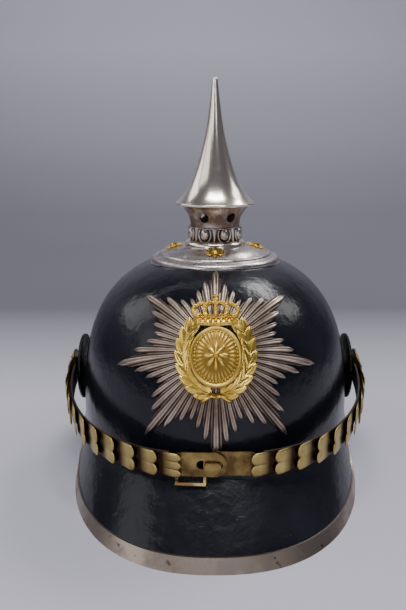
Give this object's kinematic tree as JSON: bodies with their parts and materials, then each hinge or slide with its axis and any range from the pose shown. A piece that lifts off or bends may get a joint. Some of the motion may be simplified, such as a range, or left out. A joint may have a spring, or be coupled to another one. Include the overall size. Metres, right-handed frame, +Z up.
{
  "type": "spiked leather helmet",
  "caption": "Black lacquered leather spiked helmet with a ridged star plate, gilt wreath and crown, and a chin strap of overlapping brass scales.",
  "frame": {"origin": "on the table plane, under the middle of the overall box, which is 2 mm in front of the skull's axis", "axes": "+Z up along the spike; the front, with the star plate and chin strap, faces -Y; the wearer's left is +X"},
  "size_m": [0.2094, 0.296, 0.2617],
  "materials": {
    "leather_black": "lacquered, soft gloss with fine scuffs",
    "lining_leather": "plain, matt",
    "lining_cloth": "plain weave, matt",
    "trim_nickel": "satin with dark spots",
    "tarnished_nickel": "tarnished, satin",
    "spike_silver": "polished",
    "gilt_brass": "bright gilt",
    "strap_brass": "dull brass",
    "spine_nickel": "satin",
    "cockade_black": "black lacquer, satin",
    "plain_steel": "plain"
  },
  "bodies": {
    "helmet": {"skull_shell": "leather_black", "front_visor": "leather_black", "rear_visor": "leather_black", "front_visor_lining": "lining_leather", "rear_visor_lining": "lining_leather", "front_visor_trim": "trim_nickel", "sweatband": "lining_leather", "crown_lining": "lining_cloth", "base_plate": "tarnished_nickel", "base_studs": "gilt_brass", "base_stud_nuts": "plain_steel", "spike_neck": "tarnished_nickel", "neck_ring": "spike_silver", "spike_bush": "plain_steel", "star_plate": "tarnished_nickel", "star_nuts": "plain_steel", "wreath": "gilt_brass", "shield": "gilt_brass", "crown": "gilt_brass", "rear_spine": "spine_nickel", "spine_screws": "spine_nickel", "left_cockade": "cockade_black", "right_cockade": "cockade_black", "left_rosette": "strap_brass", "right_rosette": "strap_brass", "side_nuts": "plain_steel"},
    "spike_body": {"spike": "spike_silver", "spike_stud": "plain_steel"},
    "slider_body": {"vent_slider": "spine_nickel"},
    "left_strap_root": {"left_eyelet_plate": "strap_brass", "left_scale_01": "strap_brass", "left_strap_leather": "lining_leather"},
    "left_link_02": {"left_scale_02": "strap_brass"},
    "left_link_03": {"left_scale_03": "strap_brass"},
    "left_link_04": {"left_scale_04": "strap_brass"},
    "left_link_05": {"left_scale_05": "strap_brass"},
    "left_link_06": {"left_scale_06": "strap_brass"},
    "left_link_07": {"left_scale_07": "strap_brass"},
    "left_link_08": {"left_scale_08": "strap_brass"},
    "left_link_09": {"left_scale_09": "strap_brass"},
    "left_link_10": {"left_scale_10": "strap_brass"},
    "left_link_end": {"left_end_plate": "strap_brass", "strap_button": "strap_brass"},
    "right_strap_root": {"right_eyelet_plate": "strap_brass", "right_scale_01": "strap_brass", "right_strap_leather": "lining_leather"},
    "right_link_02": {"right_scale_02": "strap_brass"},
    "right_link_03": {"right_scale_03": "strap_brass"},
    "right_link_04": {"right_scale_04": "strap_brass"},
    "right_link_05": {"right_scale_05": "strap_brass"},
    "right_link_06": {"right_scale_06": "strap_brass"},
    "right_link_07": {"right_scale_07": "strap_brass"},
    "right_link_08": {"right_scale_08": "strap_brass"},
    "right_link_09": {"right_scale_09": "strap_brass"},
    "right_link_10": {"right_scale_10": "strap_brass"},
    "right_link_end": {"right_end_plate": "strap_brass", "strap_frame": "strap_brass"}
  },
  "joints": [
    {"name": "spike_lift", "type": "slide", "parent": "helmet", "child": "spike_body", "axis": [0, 0, 1], "range_m": [0, 0.06]},
    {"name": "vent_slide", "type": "slide", "parent": "helmet", "child": "slider_body", "axis": [0, -0.3634, 0.9316], "range_m": [0, 0.008]},
    {"name": "left_strap_swing", "type": "hinge", "parent": "helmet", "child": "left_strap_root", "pos_m": [0.1, 0.002, 0.064], "axis": [1, 0, 0], "range_deg": [0, 16]},
    {"name": "left_bend_02", "type": "hinge", "parent": "left_strap_root", "child": "left_link_02", "pos_m": [0.0986, -0.02925, 0.05899], "axis": [0, -0.1582, 0.9874], "range_deg": [0, 6.68], "deforming": ["left_strap_leather"]},
    {"name": "left_bend_03", "type": "hinge", "parent": "left_link_02", "child": "left_link_03", "pos_m": [0.09595, -0.04219, 0.05692], "axis": [0, -0.1582, 0.9874], "range_deg": [0, 4.8]},
    {"name": "left_bend_04", "type": "hinge", "parent": "left_link_03", "child": "left_link_04", "pos_m": [0.09222, -0.05489, 0.05489], "axis": [0, -0.1582, 0.9874], "range_deg": [0, 6.73]},
    {"name": "left_bend_05", "type": "hinge", "parent": "left_link_04", "child": "left_link_05", "pos_m": [0.08701, -0.06708, 0.05293], "axis": [0, -0.1582, 0.9874], "range_deg": [0, 7.72]},
    {"name": "left_bend_06", "type": "hinge", "parent": "left_link_05", "child": "left_link_06", "pos_m": [0.08017, -0.07849, 0.05111], "axis": [0, -0.1582, 0.9874], "range_deg": [0, 8.66]},
    {"name": "left_bend_07", "type": "hinge", "parent": "left_link_06", "child": "left_link_07", "pos_m": [0.07168, -0.08876, 0.04946], "axis": [0, -0.1582, 0.9874], "range_deg": [0, 9.39]},
    {"name": "left_bend_08", "type": "hinge", "parent": "left_link_07", "child": "left_link_08", "pos_m": [0.0616, -0.09753, 0.04806], "axis": [0, -0.1582, 0.9874], "range_deg": [0, 9.72]},
    {"name": "left_bend_09", "type": "hinge", "parent": "left_link_08", "child": "left_link_09", "pos_m": [0.05017, -0.1045, 0.04694], "axis": [0, -0.1582, 0.9874], "range_deg": [0, 9.49]},
    {"name": "left_bend_10", "type": "hinge", "parent": "left_link_09", "child": "left_link_10", "pos_m": [0.03774, -0.1095, 0.04614], "axis": [0, -0.1582, 0.9874], "range_deg": [0, 8.67]},
    {"name": "left_bend_end", "type": "hinge", "parent": "left_link_10", "child": "left_link_end", "pos_m": [0.02456, -0.11262, 0.04564], "axis": [0, -0.1582, 0.9874], "range_deg": [0, 18.32]},
    {"name": "right_strap_swing", "type": "hinge", "parent": "helmet", "child": "right_strap_root", "pos_m": [-0.1, 0.002, 0.064], "axis": [1, 0, 0], "range_deg": [0, 16]},
    {"name": "right_bend_02", "type": "hinge", "parent": "right_strap_root", "child": "right_link_02", "pos_m": [-0.0986, -0.02925, 0.05899], "axis": [0, 0.1582, -0.9874], "range_deg": [0, 6.68], "deforming": ["right_strap_leather"]},
    {"name": "right_bend_03", "type": "hinge", "parent": "right_link_02", "child": "right_link_03", "pos_m": [-0.09595, -0.04219, 0.05692], "axis": [0, 0.1582, -0.9874], "range_deg": [0, 4.8]},
    {"name": "right_bend_04", "type": "hinge", "parent": "right_link_03", "child": "right_link_04", "pos_m": [-0.09222, -0.05489, 0.05489], "axis": [0, 0.1582, -0.9874], "range_deg": [0, 6.73]},
    {"name": "right_bend_05", "type": "hinge", "parent": "right_link_04", "child": "right_link_05", "pos_m": [-0.08701, -0.06708, 0.05293], "axis": [0, 0.1582, -0.9874], "range_deg": [0, 7.72]},
    {"name": "right_bend_06", "type": "hinge", "parent": "right_link_05", "child": "right_link_06", "pos_m": [-0.08017, -0.07849, 0.05111], "axis": [0, 0.1582, -0.9874], "range_deg": [0, 8.66]},
    {"name": "right_bend_07", "type": "hinge", "parent": "right_link_06", "child": "right_link_07", "pos_m": [-0.07168, -0.08876, 0.04946], "axis": [0, 0.1582, -0.9874], "range_deg": [0, 9.39]},
    {"name": "right_bend_08", "type": "hinge", "parent": "right_link_07", "child": "right_link_08", "pos_m": [-0.0616, -0.09753, 0.04806], "axis": [0, 0.1582, -0.9874], "range_deg": [0, 9.72]},
    {"name": "right_bend_09", "type": "hinge", "parent": "right_link_08", "child": "right_link_09", "pos_m": [-0.05017, -0.1045, 0.04694], "axis": [0, 0.1582, -0.9874], "range_deg": [0, 9.49]},
    {"name": "right_bend_10", "type": "hinge", "parent": "right_link_09", "child": "right_link_10", "pos_m": [-0.03774, -0.1095, 0.04614], "axis": [0, 0.1582, -0.9874], "range_deg": [0, 8.67]},
    {"name": "right_bend_end", "type": "hinge", "parent": "right_link_10", "child": "right_link_end", "pos_m": [-0.0246, -0.11262, 0.04564], "axis": [0, 0.1582, -0.9874], "range_deg": [0, 15.1]}
  ],
  "couplings": [
    {"joint": "left_bend_02", "follows": "left_strap_swing", "ratio": 0.41628},
    {"joint": "left_bend_03", "follows": "left_strap_swing", "ratio": 0.29915},
    {"joint": "left_bend_04", "follows": "left_strap_swing", "ratio": 0.41938},
    {"joint": "left_bend_05", "follows": "left_strap_swing", "ratio": 0.48137},
    {"joint": "left_bend_06", "follows": "left_strap_swing", "ratio": 0.54012},
    {"joint": "left_bend_07", "follows": "left_strap_swing", "ratio": 0.58599},
    {"joint": "left_bend_08", "follows": "left_strap_swing", "ratio": 0.60659},
    {"joint": "left_bend_09", "follows": "left_strap_swing", "ratio": 0.59211},
    {"joint": "left_bend_10", "follows": "left_strap_swing", "ratio": 0.54063},
    {"joint": "left_bend_end", "follows": "left_strap_swing", "ratio": 1.1434},
    {"joint": "right_bend_02", "follows": "right_strap_swing", "ratio": 0.41628},
    {"joint": "right_bend_03", "follows": "right_strap_swing", "ratio": 0.29915},
    {"joint": "right_bend_04", "follows": "right_strap_swing", "ratio": 0.41938},
    {"joint": "right_bend_05", "follows": "right_strap_swing", "ratio": 0.48137},
    {"joint": "right_bend_06", "follows": "right_strap_swing", "ratio": 0.54012},
    {"joint": "right_bend_07", "follows": "right_strap_swing", "ratio": 0.58599},
    {"joint": "right_bend_08", "follows": "right_strap_swing", "ratio": 0.60659},
    {"joint": "right_bend_09", "follows": "right_strap_swing", "ratio": 0.59211},
    {"joint": "right_bend_10", "follows": "right_strap_swing", "ratio": 0.54063},
    {"joint": "right_bend_end", "follows": "right_strap_swing", "ratio": 0.94189}
  ]
}
